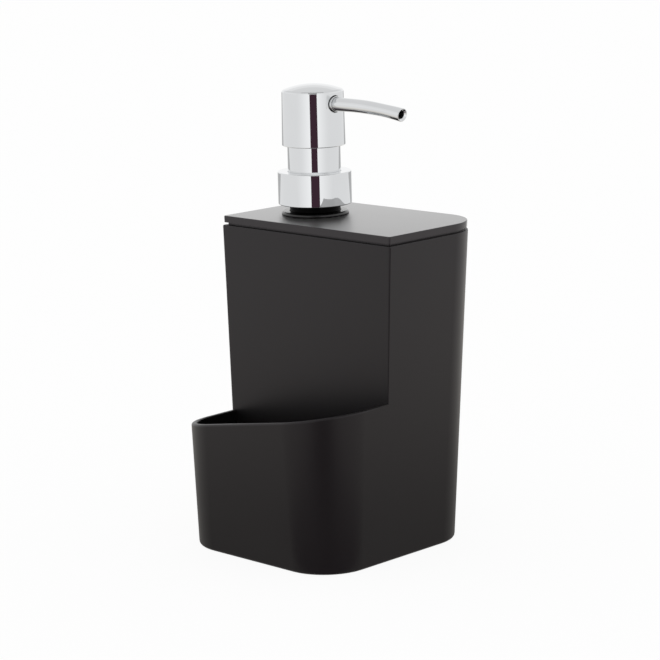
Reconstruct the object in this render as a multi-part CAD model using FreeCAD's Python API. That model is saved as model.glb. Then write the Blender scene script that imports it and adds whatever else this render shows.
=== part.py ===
"""Soap pump caddy: a moulded soap tank with a low sponge pocket in front, a lift-off lid and a lotion pump.

Millimetres, +Z up, +X along the tank's front face, the pocket towards -Y. The origin is on the table,
under the middle of the caddy's outline.
"""
import FreeCAD
import Part
import math
import os

Vector = FreeCAD.Vector

# Caddy moulding
TOP_WIDTH = 108.0
TANK_HEIGHT = 147.0
TANK_DEPTH = 67.1
POCKET_DEPTH = 39.1
SIDE_DRAFT = 1.97
END_DRAFT = 2.62
REAR_CORNER = 22.0
FRONT_CORNER = 22.7
CORNER_FLARE = 3.43
RIM_HEIGHT = 65.9
RIM_TILT = 9.7
TANK_WALL = 3.0
TANK_INNER_CORNER = 3.0
POCKET_WALL = 2.6
FLOOR = 2.8
FOOT_HEIGHT = 1.2
FOOT_RING = 3.0
BASE_EDGE = 1.5
RIM_EDGE = 1.1
RIM_FLAT = 0.2
TANK_EDGE = 0.8
MOUTH_EDGE = 0.6

# Lid
LID_THICKNESS = 3.15
LID_GAP = 1.2
LID_INSET = 0.5
LID_CORNER = 1.0
LID_EDGE = 0.4
SEAT_INSET = 1.8
SKIRT_DEPTH = 8.0
SKIRT_WALL = 1.6
SKIRT_FIT = 0.3
RIB_WALL = 1.4
RIB_DEPTH = 5.0
RIB_PLACES = (0.1, 0.55)

# Place of the pump on the lid: from the lid's left end, and back from the tank's front face
PUMP_FROM_END = 31.75
PUMP_SETBACK = 31.0

# Neck bush, snapped into the lid
FLANGE_RADIUS = 16.0
FLANGE_THICKNESS = 1.75
FLANGE_EDGE = 0.5
NECK_UNDERCUT = 12.0
NECK_RADIUS = 12.6
NECK_BORE = 9.8
SHANK_RADIUS = 12.3
SNAP_BEAD = 0.7
SNAP_HEIGHT = 1.2
SNAP_SLOT = 2.0
SNAP_SLOTS = 4
GASKET = 1.0

# Screw collar: threaded closure, chrome cover and chrome guide sleeve
COLLAR_RADIUS = 17.4
COLLAR_HEIGHT = 15.45
COLLAR_CLEARANCE = 5.05
COLLAR_EDGE = 0.6
CHROME_EDGE = 0.4
COVER_WALL = 1.0
CLOSURE_CEILING = 1.65
CLOSURE_SKIRT = 3.15
SLEEVE_RADIUS = 12.5
SLEEVE_WALL = 1.0
SLEEVE_FLANGE = 1.1
SLEEVE_REACH = 3.3

# Pump head
STROKE = 11.5
HEAD_MARGIN = 0.75
HEAD_RADIUS = 15.0
HEAD_TAPER = 0.4
HEAD_SIDE = 25.1
HEAD_WALL = 1.5
DOME_RISE = 4.0
DOME_EDGE = 0.4
CORE_WALL = 1.6
CORE_RIBS = 6
CORE_RIB_HEIGHT = 6.8
HUB_RADIUS = 5.2
HUB_LIFT = 0.4

# Spout
SPOUT_DROP = 5.0
SPOUT_REACH = 57.0
SPOUT_STRAIGHT = 24.0
SPOUT_BEND = 10.0
SPOUT_TURN = 0.0
SPOUT_ROOT = 3.25
SPOUT_TIP = 3.15
SPOUT_BORE = 2.45
SPIGOT_START = 6.9
SPIGOT_RADIUS = 2.55
SPIGOT_BORE = 1.85
RING_WALL = 0.45
RING_PROUD = 0.9
RING_EDGE = 0.35

# Pump chamber and the parts that work in it
CHAMBER_BORE = 6.5
CHAMBER_WALL = 1.2
CHAMBER_LENGTH = 42.5
CHAMBER_FLANGE = 1.2
FLANGE_OVERLAP = 2.6
CHAPLET_WALL = 1.5
CHAPLET_DEPTH = 8.0
CHAPLET_GUIDE = 5.0
CHAPLET_HEAD = 1.2
CHAPLET_BOSS = 2.8
VENT_RADIUS = 0.6
STEM_RADIUS = 3.5
STEM_BORE = 1.9
STEM_STOP_WALL = 1.3
STEM_STOP_HEIGHT = 2.4
STEM_PORT = 0.8
PISTON_HEIGHT = 7.0
PISTON_SLEEVE = 1.15
PISTON_LIP = 0.8
PISTON_FLOAT = 1.0
PLUG_RADIUS = 5.9
PLUG_FLANGE = 1.8
PLUG_SPIGOT = 5.0
PLUG_WEB = 1.0
SEAT_HEIGHT = 3.5
SEAT_WALL = 2.1
SEAT_BAR = 1.2
SPRING_RADIUS = 5.0
SPRING_WIRE = 0.45
SPRING_TURNS = 6
SPRING_SIDES = 6
SPRING_SETTLE = 0.5
BALL_RADIUS = 3.0
BALL_LIFT = 1.5
BALL_ROOM = 0.7
VALVE_THROAT = 1.8
THROAT_LENGTH = 2.0
TUBE_RADIUS = 3.0
TUBE_WALL = 0.8
TUBE_SOCKET = 10.0
TUBE_CLEARANCE = 5.0

# Fits: a running fit, a hand fit between parts of one body, and the clearance of loose stops
RUNNING_FIT = 0.05
HAND_FIT = 0.1
STOP_GAP = 0.3

# Worked-out sizes of the moulding
SIDE_LEAN = math.tan(math.radians(SIDE_DRAFT))
END_LEAN = math.tan(math.radians(END_DRAFT))
RIM_SLOPE = math.tan(math.radians(RIM_TILT))
CORNER_GROWTH = math.tan(math.radians(CORNER_FLARE))
BASE_HALF_WIDTH = TOP_WIDTH / 2 - SIDE_LEAN * TANK_HEIGHT
FLOOR_TOP = FOOT_HEIGHT + FLOOR

# The front rim is highest where its straight part meets the right corner, and reaches furthest there
RIM_PEAK = (RIM_HEIGHT + RIM_SLOPE * (BASE_HALF_WIDTH - FRONT_CORNER)) / (
    1 - RIM_SLOPE * (SIDE_LEAN - CORNER_GROWTH))
POCKET_REACH = POCKET_DEPTH + END_LEAN * RIM_PEAK
TANK_FRONT = (POCKET_REACH - TANK_DEPTH) / 2
PUMP_X = PUMP_FROM_END - TOP_WIDTH / 2
PUMP_Y = TANK_FRONT + PUMP_SETBACK

# Heights of the pump's outside, from the lid up
LID_BOTTOM = TANK_HEIGHT + LID_GAP
LID_TOP = LID_BOTTOM + LID_THICKNESS
FLANGE_TOP = LID_TOP + FLANGE_THICKNESS
COLLAR_BOTTOM = LID_TOP + COLLAR_CLEARANCE
COLLAR_TOP = COLLAR_BOTTOM + COLLAR_HEIGHT
HEAD_BOTTOM = COLLAR_TOP + STROKE + HEAD_MARGIN
HEAD_SHOULDER = HEAD_BOTTOM + HEAD_SIDE
HEAD_TOP = HEAD_SHOULDER + DOME_RISE
SPOUT_Z = HEAD_SHOULDER - SPOUT_DROP

# Heights inside the collar, from its top down
SLEEVE_SEAT = COLLAR_TOP - COVER_WALL - SLEEVE_FLANGE
CLOSURE_UNDERSIDE = SLEEVE_SEAT - CLOSURE_CEILING
CHAMBER_TOP = CLOSURE_UNDERSIDE - RUNNING_FIT
GASKET_TOP = CHAMBER_TOP - CHAMBER_FLANGE
NECK_TOP = GASKET_TOP - GASKET
COVER_BORE = COLLAR_RADIUS - COVER_WALL
CLOSURE_RADIUS = COVER_BORE - HAND_FIT

# Heights inside the head
CORE_TOP = HEAD_SHOULDER - CORE_WALL
CORE_RIB_BOTTOM = CORE_TOP - CORE_WALL - CORE_RIB_HEIGHT
SLEEVE_TOP = HEAD_BOTTOM + SLEEVE_REACH
CHAPLET_TOP = CHAMBER_TOP + CHAPLET_HEAD + CHAPLET_BOSS
HUB_BOTTOM = CHAPLET_TOP + STROKE + HUB_LIFT
STEM_TOP = SPOUT_Z - STEM_RADIUS

# Heights inside the chamber, from its top down
CHAPLET_BOTTOM = CHAMBER_TOP - CHAPLET_DEPTH
GUIDE_BOTTOM = CHAPLET_BOTTOM + CHAPLET_DEPTH - CHAPLET_GUIDE
STEM_STOP_TOP = GUIDE_BOTTOM - STOP_GAP
STEM_STOP_BOTTOM = STEM_STOP_TOP - STEM_STOP_HEIGHT
PISTON_TOP = min(STEM_STOP_BOTTOM, CHAPLET_BOTTOM) - PISTON_FLOAT - STOP_GAP
PISTON_BOTTOM = PISTON_TOP - PISTON_HEIGHT
STEM_BOTTOM = PISTON_BOTTOM - RUNNING_FIT
PLUG_BOTTOM = STEM_BOTTOM - PLUG_FLANGE
CHAMBER_LEDGE = CHAPLET_BOTTOM - CHAMBER_LENGTH
SEAT_TOP = CHAMBER_LEDGE + SEAT_HEIGHT
BALL_CENTRE = CHAMBER_LEDGE - STOP_GAP - BALL_LIFT - BALL_RADIUS
CONE_APEX = BALL_CENTRE - (BALL_RADIUS + RUNNING_FIT) * math.sqrt(2)
THROAT_TOP = CONE_APEX + VALVE_THROAT
TUBE_TOP = THROAT_TOP - THROAT_LENGTH
SOCKET_BOTTOM = TUBE_TOP - TUBE_SOCKET
TUBE_BOTTOM = FLOOR_TOP + TUBE_CLEARANCE


# Outline of the moulding at a height
def half_width(z):
    return BASE_HALF_WIDTH + SIDE_LEAN * z


def rear_y(z):
    return TANK_FRONT + TANK_DEPTH - END_LEAN * (TANK_HEIGHT - z)


def front_y(z):
    return TANK_FRONT - POCKET_DEPTH - END_LEAN * z


# Shared shapes
def edges_where(shape, test):
    return [edge for edge in shape.Edges if test(edge.BoundBox)]


def upright(box):
    return box.ZLength > max(box.XLength, box.YLength)


def tapered_block(low, high):
    """A solid with flat sides between two outlines, each drawn anticlockwise seen from above."""
    faces = [Part.Face(Part.makePolygon(low[::-1] + low[-1:]))]
    faces.append(Part.Face(Part.makePolygon(high + high[:1])))
    for this in range(len(low)):
        after = (this + 1) % len(low)
        side = [low[this], low[after], high[after], high[this], low[this]]
        faces.append(Part.Face(Part.makePolygon(side)))
    return Part.Solid(Part.Shell(faces))


def front_corner(side, inset):
    """The cone that rounds a front corner: its apex, its axis and the lines where it meets both walls."""
    radius = FRONT_CORNER - inset
    depth = radius / CORNER_GROWTH
    apex = Vector(
        side * (half_width(-depth) - inset), front_y(-depth) + inset, -depth)
    pinch = math.sin(math.radians(CORNER_FLARE))
    side_pinch = pinch * math.hypot(1, SIDE_LEAN)
    end_pinch = pinch * math.hypot(1, END_LEAN)
    # the axis keeps the same angle to both walls and has a length of one
    square = 1 + SIDE_LEAN ** 2 + END_LEAN ** 2
    half_linear = SIDE_LEAN * side_pinch + END_LEAN * end_pinch
    rest = side_pinch ** 2 + end_pinch ** 2 - 1
    rise = (half_linear + math.sqrt(half_linear ** 2 - square * rest)) / square
    axis = Vector(side * (SIDE_LEAN * rise - side_pinch), end_pinch - END_LEAN * rise, rise)
    side_normal = Vector(side, 0, -SIDE_LEAN).normalize()
    end_normal = Vector(0, -1, -END_LEAN).normalize()
    return apex, axis, axis + side_normal * pinch, axis + end_normal * pinch


def moulded_block(z_low, z_high, inset):
    """The caddy's whole outline between two heights, moved in from the outside by the inset."""
    left = front_corner(-1, inset)
    right = front_corner(1, inset)

    def on_line(corner, line, z):
        return corner[0] + corner[line] * ((z - corner[0].z) / corner[line].z)

    def outline(z):
        width = half_width(z) - inset
        rear = rear_y(z) - inset
        return [on_line(left, 3, z), on_line(right, 3, z), on_line(right, 2, z),
                Vector(width, rear, z), Vector(-width, rear, z), on_line(left, 2, z)]

    block = tapered_block(outline(z_low), outline(z_high))
    rear_edges = edges_where(block, lambda box: upright(box) and box.YMin > TANK_FRONT + inset)
    block = block.makeFillet(REAR_CORNER - inset, rear_edges)
    layer = Part.makeBox(
        2 * TOP_WIDTH, 4 * TANK_DEPTH, z_high - z_low, Vector(-TOP_WIDTH, -2 * TANK_DEPTH, z_low))
    for apex, axis, _, _ in (left, right):
        start = (z_low - FRONT_CORNER - apex.z) / axis.z
        stop = (z_high + FRONT_CORNER - apex.z) / axis.z
        cone = Part.makeCone(
            start * CORNER_GROWTH, stop * CORNER_GROWTH, stop - start, apex + axis * start, axis)
        # the cone's seam is turned into the block
        cone.rotate(apex, axis, 180 if axis.x > 0 else 0)
        block = block.fuse(cone.common(layer))
    return block.removeSplitter()


def tank_block(z_low, z_high, inset, front_radius):
    """The tank's outline between two heights, moved in by the inset, with small front corners."""

    def outline(z):
        width = half_width(z) - inset
        front = TANK_FRONT + inset
        rear = rear_y(z) - inset
        return [Vector(-width, front, z), Vector(width, front, z),
                Vector(width, rear, z), Vector(-width, rear, z)]

    block = tapered_block(outline(z_low), outline(z_high))
    middle = TANK_FRONT + TANK_DEPTH / 2
    rear_edges = edges_where(block, lambda box: upright(box) and box.YMin > middle)
    block = block.makeFillet(REAR_CORNER - inset, rear_edges)
    front_edges = edges_where(block, lambda box: upright(box) and box.YMax < middle)
    return block.makeFillet(front_radius, front_edges)


def turned(profile):
    """A solid turned about the pump's axis from (radius, height) corners."""
    corners = [Vector(PUMP_X + radius, PUMP_Y, z) for radius, z in profile]
    face = Part.Face(Part.makePolygon(corners + corners[:1]))
    return face.revolve(Vector(PUMP_X, PUMP_Y, 0), Vector(0, 0, 1), 360)


def tube(outer, inner, z_low, z_high):
    return turned([(inner, z_low), (outer, z_low), (outer, z_high), (inner, z_high)])


def rod(radius, z_low, z_high):
    return Part.makeCylinder(radius, z_high - z_low, Vector(PUMP_X, PUMP_Y, z_low))


def about_pump(shape, angle):
    copy = shape.copy()
    copy.rotate(Vector(PUMP_X, PUMP_Y, 0), Vector(0, 0, 1), angle)
    return copy


def plate_on_pump(thickness, length, z_low, z_high):
    """An upright plate from the pump's axis along +X."""
    return Part.makeBox(
        length, thickness, z_high - z_low, Vector(PUMP_X, PUMP_Y - thickness / 2, z_low))


# Caddy moulding: the tank and the sponge pocket in one piece
def caddy_body():
    outside = moulded_block(0, TANK_HEIGHT, 0)
    far = 2 * TANK_DEPTH
    above = TANK_HEIGHT + FLOOR
    over_rim = Part.Face(Part.makePolygon([
        Vector(-far, -far, RIM_HEIGHT - far * RIM_SLOPE), Vector(far, -far, RIM_HEIGHT + far * RIM_SLOPE),
        Vector(far, -far, above), Vector(-far, -far, above),
        Vector(-far, -far, RIM_HEIGHT - far * RIM_SLOPE)])).extrude(Vector(0, 2 * far, 0))

    def on_rim(edge):
        places = [edge.valueAt(edge.FirstParameter), edge.valueAt(edge.LastParameter)]
        return all(abs(p.z - RIM_HEIGHT - RIM_SLOPE * p.x) < 1e-3 for p in places)

    # the pocket is a cup of the whole outline with a tilted, rounded rim, kept in front of the tank
    cup = outside.cut(over_rim)
    cup = cup.cut(moulded_block(FLOOR_TOP, TANK_HEIGHT, POCKET_WALL))
    rim = [edge for edge in cup.Edges if on_rim(edge)]
    cup = cup.makeFillet(min(RIM_EDGE, (POCKET_WALL - RIM_FLAT) / 2), rim)
    overlap = (TANK_EDGE + TANK_WALL) / 2
    pocket = cup.common(Part.makeBox(
        2 * far, far, above, Vector(-far, TANK_FRONT + overlap - far, 0)))
    tank = outside.common(Part.makeBox(2 * far, far, above, Vector(-far, TANK_FRONT, 0)))
    front_edges = edges_where(tank, lambda box: upright(box) and box.YMax < TANK_FRONT + 1e-3)
    tank = tank.makeFillet(TANK_EDGE, front_edges)
    body = tank.fuse(pocket).removeSplitter()
    base_edges = edges_where(body, lambda box: box.ZMax < 1e-3)
    body = body.makeFillet(BASE_EDGE, base_edges)
    mouth_edges = edges_where(body, lambda box: box.ZMin > TANK_HEIGHT - 1e-3)
    body = body.makeChamfer(MOUTH_EDGE, mouth_edges)
    body = body.cut(tank_block(FLOOR_TOP, TANK_HEIGHT, TANK_WALL, TANK_INNER_CORNER))
    return body.cut(moulded_block(0, FOOT_HEIGHT, FOOT_RING))


# Lid: flat plate, a seat that leaves the shadow gap, a skirt that goes into the tank's mouth
def lid():
    plate = tank_block(LID_BOTTOM, LID_TOP, LID_INSET, LID_CORNER)
    top_edges = edges_where(plate, lambda box: box.ZMin > LID_TOP - 1e-3)
    plate = plate.makeChamfer(LID_EDGE, top_edges)
    seat = tank_block(TANK_HEIGHT, LID_BOTTOM, SEAT_INSET, LID_CORNER)
    skirt_bottom = TANK_HEIGHT - SKIRT_DEPTH
    skirt_inset = TANK_WALL + SKIRT_FIT
    skirt = tank_block(skirt_bottom, TANK_HEIGHT, skirt_inset, TANK_INNER_CORNER)
    room_inset = skirt_inset + SKIRT_WALL
    room = tank_block(skirt_bottom, LID_BOTTOM, room_inset, TANK_INNER_CORNER - SKIRT_WALL)
    shell = plate.fuse([seat, skirt]).removeSplitter().cut(room)
    # stiffening ribs cross the free part of the lid from skirt to skirt
    rib_left = PUMP_X + FLANGE_RADIUS + SKIRT_DEPTH
    rib_right = half_width(skirt_bottom) - room_inset
    ribs = []
    for share in RIB_PLACES:
        rib_x = rib_left + share * (rib_right - rib_left)
        rib = Part.makeBox(
            RIB_WALL, TANK_DEPTH, RIB_DEPTH, Vector(rib_x, TANK_FRONT, LID_BOTTOM - RIB_DEPTH))
        ribs.append(rib.common(room))
    shell = shell.fuse(ribs).removeSplitter()
    return shell.cut(rod(SHANK_RADIUS + HAND_FIT, skirt_bottom, LID_TOP + LID_GAP))


# Neck bush: flange on the lid, neck for the closure, slotted shank that snaps under the lid
def neck_bush():
    bead_top = LID_BOTTOM - HAND_FIT
    bead_radius = SHANK_RADIUS + SNAP_BEAD
    bottom = bead_top - SNAP_HEIGHT
    bush = turned([
        (NECK_BORE, bottom), (SHANK_RADIUS, bottom), (bead_radius, bead_top - SNAP_BEAD / 2),
        (bead_radius, bead_top), (SHANK_RADIUS, bead_top), (SHANK_RADIUS, LID_TOP),
        (FLANGE_RADIUS, LID_TOP), (FLANGE_RADIUS, FLANGE_TOP - FLANGE_EDGE),
        (FLANGE_RADIUS - FLANGE_EDGE, FLANGE_TOP), (NECK_UNDERCUT, FLANGE_TOP),
        (NECK_UNDERCUT, COLLAR_BOTTOM + COVER_WALL), (NECK_RADIUS, COLLAR_BOTTOM + 2 * COVER_WALL),
        (NECK_RADIUS, NECK_TOP), (NECK_BORE, NECK_TOP)])
    for slot in range(SNAP_SLOTS):
        gap = plate_on_pump(SNAP_SLOT, bead_radius + SNAP_BEAD, bottom, LID_TOP - SNAP_HEIGHT / 2)
        bush = bush.cut(about_pump(gap, (slot + 0.5) * 360 / SNAP_SLOTS))
    return bush


def neck_gasket():
    return tube(NECK_RADIUS - HAND_FIT, NECK_BORE + HAND_FIT, NECK_TOP, GASKET_TOP)


# Screw collar
def closure():
    bottom = COLLAR_BOTTOM + COVER_WALL / 2
    skirt_bore = CLOSURE_RADIUS - CLOSURE_SKIRT
    hole = CHAMBER_BORE + CHAMBER_WALL + CHAPLET_WALL
    return turned([
        (skirt_bore, bottom), (CLOSURE_RADIUS, bottom), (CLOSURE_RADIUS, SLEEVE_SEAT),
        (hole, SLEEVE_SEAT), (hole, CLOSURE_UNDERSIDE), (skirt_bore, CLOSURE_UNDERSIDE)])


def collar_cover():
    hole = SLEEVE_RADIUS + HAND_FIT
    ceiling = COLLAR_TOP - COVER_WALL
    return turned([
        (COVER_BORE, COLLAR_BOTTOM), (COLLAR_RADIUS - CHROME_EDGE, COLLAR_BOTTOM),
        (COLLAR_RADIUS, COLLAR_BOTTOM + CHROME_EDGE), (COLLAR_RADIUS, COLLAR_TOP - COLLAR_EDGE),
        (COLLAR_RADIUS - COLLAR_EDGE, COLLAR_TOP), (hole, COLLAR_TOP), (hole, ceiling),
        (COVER_BORE, ceiling)])


def guide_sleeve():
    bore = SLEEVE_RADIUS - SLEEVE_WALL
    flange_top = SLEEVE_SEAT + SLEEVE_FLANGE
    flange = (SLEEVE_RADIUS + CLOSURE_RADIUS) / 2
    return turned([
        (bore, SLEEVE_SEAT), (flange, SLEEVE_SEAT), (flange, flange_top),
        (SLEEVE_RADIUS, flange_top), (SLEEVE_RADIUS, SLEEVE_TOP - CHROME_EDGE),
        (SLEEVE_RADIUS - CHROME_EDGE, SLEEVE_TOP), (bore, SLEEVE_TOP)])


# Head: domed chrome shell over a moulded core that holds the stem and the spout
def domed(side, z_top):
    """A plug turned from the (radius, height) corners of its side, under a spherical dome."""
    places = [Vector(PUMP_X + radius, PUMP_Y, z) for radius, z in side]
    edge_radius, edge_z = side[-1]
    rise = z_top - edge_z
    dome_radius = (edge_radius ** 2 + rise ** 2) / (2 * rise)
    half_angle = math.asin(edge_radius / dome_radius) / 2
    halfway = Vector(
        PUMP_X + dome_radius * math.sin(half_angle), PUMP_Y,
        z_top - dome_radius * (1 - math.cos(half_angle)))
    crown = Vector(PUMP_X, PUMP_Y, z_top)
    foot = Vector(PUMP_X, PUMP_Y, places[0].z)
    outline = Part.Wire(
        Part.makePolygon([crown, foot] + places).Edges
        + [Part.Arc(places[-1], halfway, crown).toShape()])
    return Part.Face(outline).revolve(Vector(PUMP_X, PUMP_Y, 0), Vector(0, 0, 1), 360)


def along_spout(radius, start, stop, end_radius=None):
    """A round bar or taper on the straight part of the spout's line, measured from the pump's axis."""
    place = Vector(PUMP_X + start, PUMP_Y, SPOUT_Z)
    if end_radius is None:
        bar = Part.makeCylinder(radius, stop - start, place, Vector(1, 0, 0))
    else:
        bar = Part.makeCone(radius, end_radius, stop - start, place, Vector(1, 0, 0))
    return about_pump(bar, SPOUT_TURN)


def head_radius(z):
    return HEAD_RADIUS - HEAD_TAPER * (z - HEAD_BOTTOM) / HEAD_SIDE


RING_RADIUS = SPOUT_ROOT + RUNNING_FIT + RING_WALL
RING_START = head_radius(SPOUT_Z) - HEAD_WALL - RING_WALL
RING_END = head_radius(SPOUT_Z) + RING_PROUD


def head_shell():
    top_radius = head_radius(HEAD_SHOULDER)
    outside = domed([
        (HEAD_RADIUS - CHROME_EDGE, HEAD_BOTTOM), (HEAD_RADIUS, HEAD_BOTTOM + CHROME_EDGE),
        (top_radius, HEAD_SHOULDER - DOME_EDGE),
        (top_radius - DOME_EDGE, HEAD_SHOULDER)], HEAD_TOP)
    inside = turned([
        (0, HEAD_BOTTOM), (HEAD_RADIUS - HEAD_WALL, HEAD_BOTTOM),
        (top_radius - HEAD_WALL, HEAD_SHOULDER - HEAD_WALL / 2), (0, HEAD_TOP - HEAD_WALL)])
    hole = along_spout(RING_RADIUS + RUNNING_FIT, STEM_RADIUS, RING_END)
    return outside.cut(inside).cut(hole)


def head_core():
    reach = head_radius(HEAD_SHOULDER) - HEAD_WALL - HAND_FIT
    socket_top = STEM_TOP + RUNNING_FIT
    core = rod(HUB_RADIUS, HUB_BOTTOM, CORE_TOP)
    core = core.fuse(rod(reach, CORE_TOP - CORE_WALL, CORE_TOP))
    for rib in range(CORE_RIBS):
        web = plate_on_pump(CORE_WALL, reach, CORE_RIB_BOTTOM, CORE_TOP - CORE_WALL / 2)
        web = web.common(rod(reach, CORE_RIB_BOTTOM, CORE_TOP))
        core = core.fuse(about_pump(web, SPOUT_TURN + rib * 360 / CORE_RIBS))
    boss = along_spout(SPIGOT_RADIUS + CORE_WALL, 0, RING_START - RUNNING_FIT)
    boss = boss.common(rod(reach, HUB_BOTTOM, CORE_TOP))
    core = core.fuse(boss).removeSplitter()
    core = core.cut(rod(STEM_RADIUS + RUNNING_FIT, HUB_BOTTOM, socket_top))
    core = core.cut(rod(STEM_BORE, HUB_BOTTOM, SPOUT_Z))
    core = core.cut(along_spout(STEM_BORE, 0, SPIGOT_START))
    # ribs and top stay clear of the ring around the spout's root
    core = core.cut(along_spout(RING_RADIUS + HAND_FIT, RING_START - RUNNING_FIT, RING_END))
    return core.cut(along_spout(SPIGOT_RADIUS + RUNNING_FIT, SPIGOT_START, RING_END))


def spout_tube():
    bend = math.radians(SPOUT_BEND)
    bend_radius = (SPOUT_REACH - SPOUT_STRAIGHT) / math.sin(bend)

    def bent(radius):
        centre = Vector(PUMP_X + SPOUT_STRAIGHT, PUMP_Y, SPOUT_Z)
        section = Part.Face(Part.Wire(Part.Circle(centre, Vector(1, 0, 0), radius).toShape()))
        pivot = Vector(PUMP_X + SPOUT_STRAIGHT, PUMP_Y, SPOUT_Z - bend_radius)
        return about_pump(section.revolve(pivot, Vector(0, 1, 0), SPOUT_BEND), SPOUT_TURN)

    # the tube steps down to the spigot that is pressed into the core, outside and then inside
    shoulder = RING_START + RUNNING_FIT
    step = shoulder + SPOUT_ROOT - SPOUT_BORE
    outside = along_spout(SPIGOT_RADIUS, SPIGOT_START + RUNNING_FIT, shoulder)
    outside = outside.fuse(along_spout(SPOUT_ROOT, shoulder, SPOUT_STRAIGHT, SPOUT_TIP))
    outside = outside.fuse(bent(SPOUT_TIP))
    bore = along_spout(SPOUT_BORE, step, SPOUT_STRAIGHT).fuse(bent(SPOUT_BORE)).removeSplitter()
    bore = bore.fuse(along_spout(SPIGOT_BORE, SPIGOT_START, SPOUT_STRAIGHT))
    return outside.removeSplitter().cut(bore)


def spout_ring():
    ring = along_spout(RING_RADIUS, RING_START, RING_END)
    ring = ring.cut(along_spout(SPOUT_ROOT + RUNNING_FIT, RING_START, RING_END))
    direction = about_pump(Part.makeLine(
        Vector(PUMP_X, PUMP_Y, 0), Vector(PUMP_X + 1, PUMP_Y, 0)), SPOUT_TURN).tangentAt(0)
    axis_point = Vector(PUMP_X, PUMP_Y, SPOUT_Z)

    def outer_rim(edge):
        if edge.Degenerated or not isinstance(edge.Curve, Part.Circle):
            return False
        reach = (edge.Curve.Center - axis_point).dot(direction)
        return edge.Curve.Radius > RING_RADIUS - 1e-3 and reach > RING_END - 1e-3

    return ring.makeChamfer(RING_EDGE, [edge for edge in ring.Edges if outer_rim(edge)])


# Pump works
def pump_chamber():
    outer = CHAMBER_BORE + CHAMBER_WALL
    head_bore = outer - RUNNING_FIT
    head_outer = outer + CHAMBER_WALL
    valve_bore = BALL_RADIUS + BALL_ROOM
    valve_outer = valve_bore + CHAMBER_WALL
    cone_top = CONE_APEX + valve_bore
    socket_bore = TUBE_RADIUS + RUNNING_FIT
    socket_outer = socket_bore + CHAMBER_WALL
    chamber = turned([
        (head_bore, CHAMBER_TOP), (head_bore, CHAPLET_BOTTOM), (CHAMBER_BORE, CHAPLET_BOTTOM),
        (CHAMBER_BORE, CHAMBER_LEDGE), (valve_bore, CHAMBER_LEDGE), (valve_bore, cone_top),
        (VALVE_THROAT, THROAT_TOP), (VALVE_THROAT, TUBE_TOP), (socket_bore, TUBE_TOP),
        (socket_bore, SOCKET_BOTTOM), (socket_outer, SOCKET_BOTTOM), (socket_outer, THROAT_TOP),
        (valve_outer, cone_top), (valve_outer, CHAMBER_LEDGE - 2 * CHAMBER_WALL),
        (outer, CHAMBER_LEDGE), (outer, CHAPLET_BOTTOM - 2 * CHAMBER_WALL),
        (head_outer, CHAPLET_BOTTOM - CHAMBER_WALL), (head_outer, GASKET_TOP),
        (NECK_BORE + FLANGE_OVERLAP, GASKET_TOP), (NECK_BORE + FLANGE_OVERLAP, CHAMBER_TOP)])
    vent_z = (PISTON_TOP + PISTON_BOTTOM) / 2
    vent = Part.makeCylinder(
        VENT_RADIUS, 2 * outer, Vector(PUMP_X, PUMP_Y, vent_z), Vector(0, -1, 0))
    return chamber.cut(vent)


def chaplet():
    barrel = CHAMBER_BORE + CHAMBER_WALL - 2 * RUNNING_FIT
    guide = STEM_RADIUS + RUNNING_FIT
    boss = guide + CHAPLET_WALL
    head = CHAMBER_BORE + CHAMBER_WALL + CHAPLET_WALL - 2 * HAND_FIT
    head_top = CHAMBER_TOP + CHAPLET_HEAD
    room = barrel - CHAPLET_WALL
    return turned([
        (room, CHAPLET_BOTTOM), (barrel, CHAPLET_BOTTOM), (barrel, CHAMBER_TOP), (head, CHAMBER_TOP),
        (head, head_top), (boss, head_top), (boss, CHAPLET_TOP), (guide, CHAPLET_TOP),
        (guide, GUIDE_BOTTOM), (room, GUIDE_BOTTOM)])


def piston_stem():
    stem = tube(STEM_RADIUS, STEM_BORE, STEM_BOTTOM, STEM_TOP)
    stop = STEM_RADIUS + STEM_STOP_WALL
    stem = stem.fuse(tube(stop, STEM_BORE, STEM_STOP_BOTTOM, STEM_STOP_TOP)).removeSplitter()
    port_start = Vector(PUMP_X, PUMP_Y - 2 * STEM_RADIUS, PISTON_BOTTOM + STEM_PORT)
    port = Part.makeCylinder(STEM_PORT, 4 * STEM_RADIUS, port_start, Vector(0, 1, 0))
    return stem.cut(port)


def piston_cup():
    bore = STEM_RADIUS + RUNNING_FIT
    sleeve = bore + PISTON_SLEEVE
    wall = CHAMBER_BORE - RUNNING_FIT
    lip = wall - PISTON_LIP
    web = PISTON_LIP
    middle = (PISTON_TOP + PISTON_BOTTOM) / 2
    low = PISTON_BOTTOM + PISTON_LIP / 2
    high = PISTON_TOP - PISTON_LIP / 2
    return turned([
        (bore, PISTON_BOTTOM), (sleeve, PISTON_BOTTOM), (sleeve, middle - 2 * web), (lip, low),
        (wall, low), (wall, low + PISTON_LIP), (lip, middle - web), (lip, middle + web),
        (wall, high - PISTON_LIP), (wall, high), (lip, high), (sleeve, middle + 2 * web),
        (sleeve, PISTON_TOP), (bore, PISTON_TOP)])


def stem_plug():
    flange = rod(PLUG_RADIUS, PLUG_BOTTOM, STEM_BOTTOM)
    spigot = rod(STEM_BORE - RUNNING_FIT, STEM_BOTTOM, STEM_BOTTOM + PLUG_SPIGOT)
    web = plate_on_pump(PLUG_WEB, STEM_RADIUS, PLUG_BOTTOM, STEM_BOTTOM + PLUG_SPIGOT)
    cross = web.fuse([about_pump(web, 90 * turn) for turn in (1, 2, 3)])
    return flange.fuse(spigot.common(about_pump(cross, 45))).removeSplitter()


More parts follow.
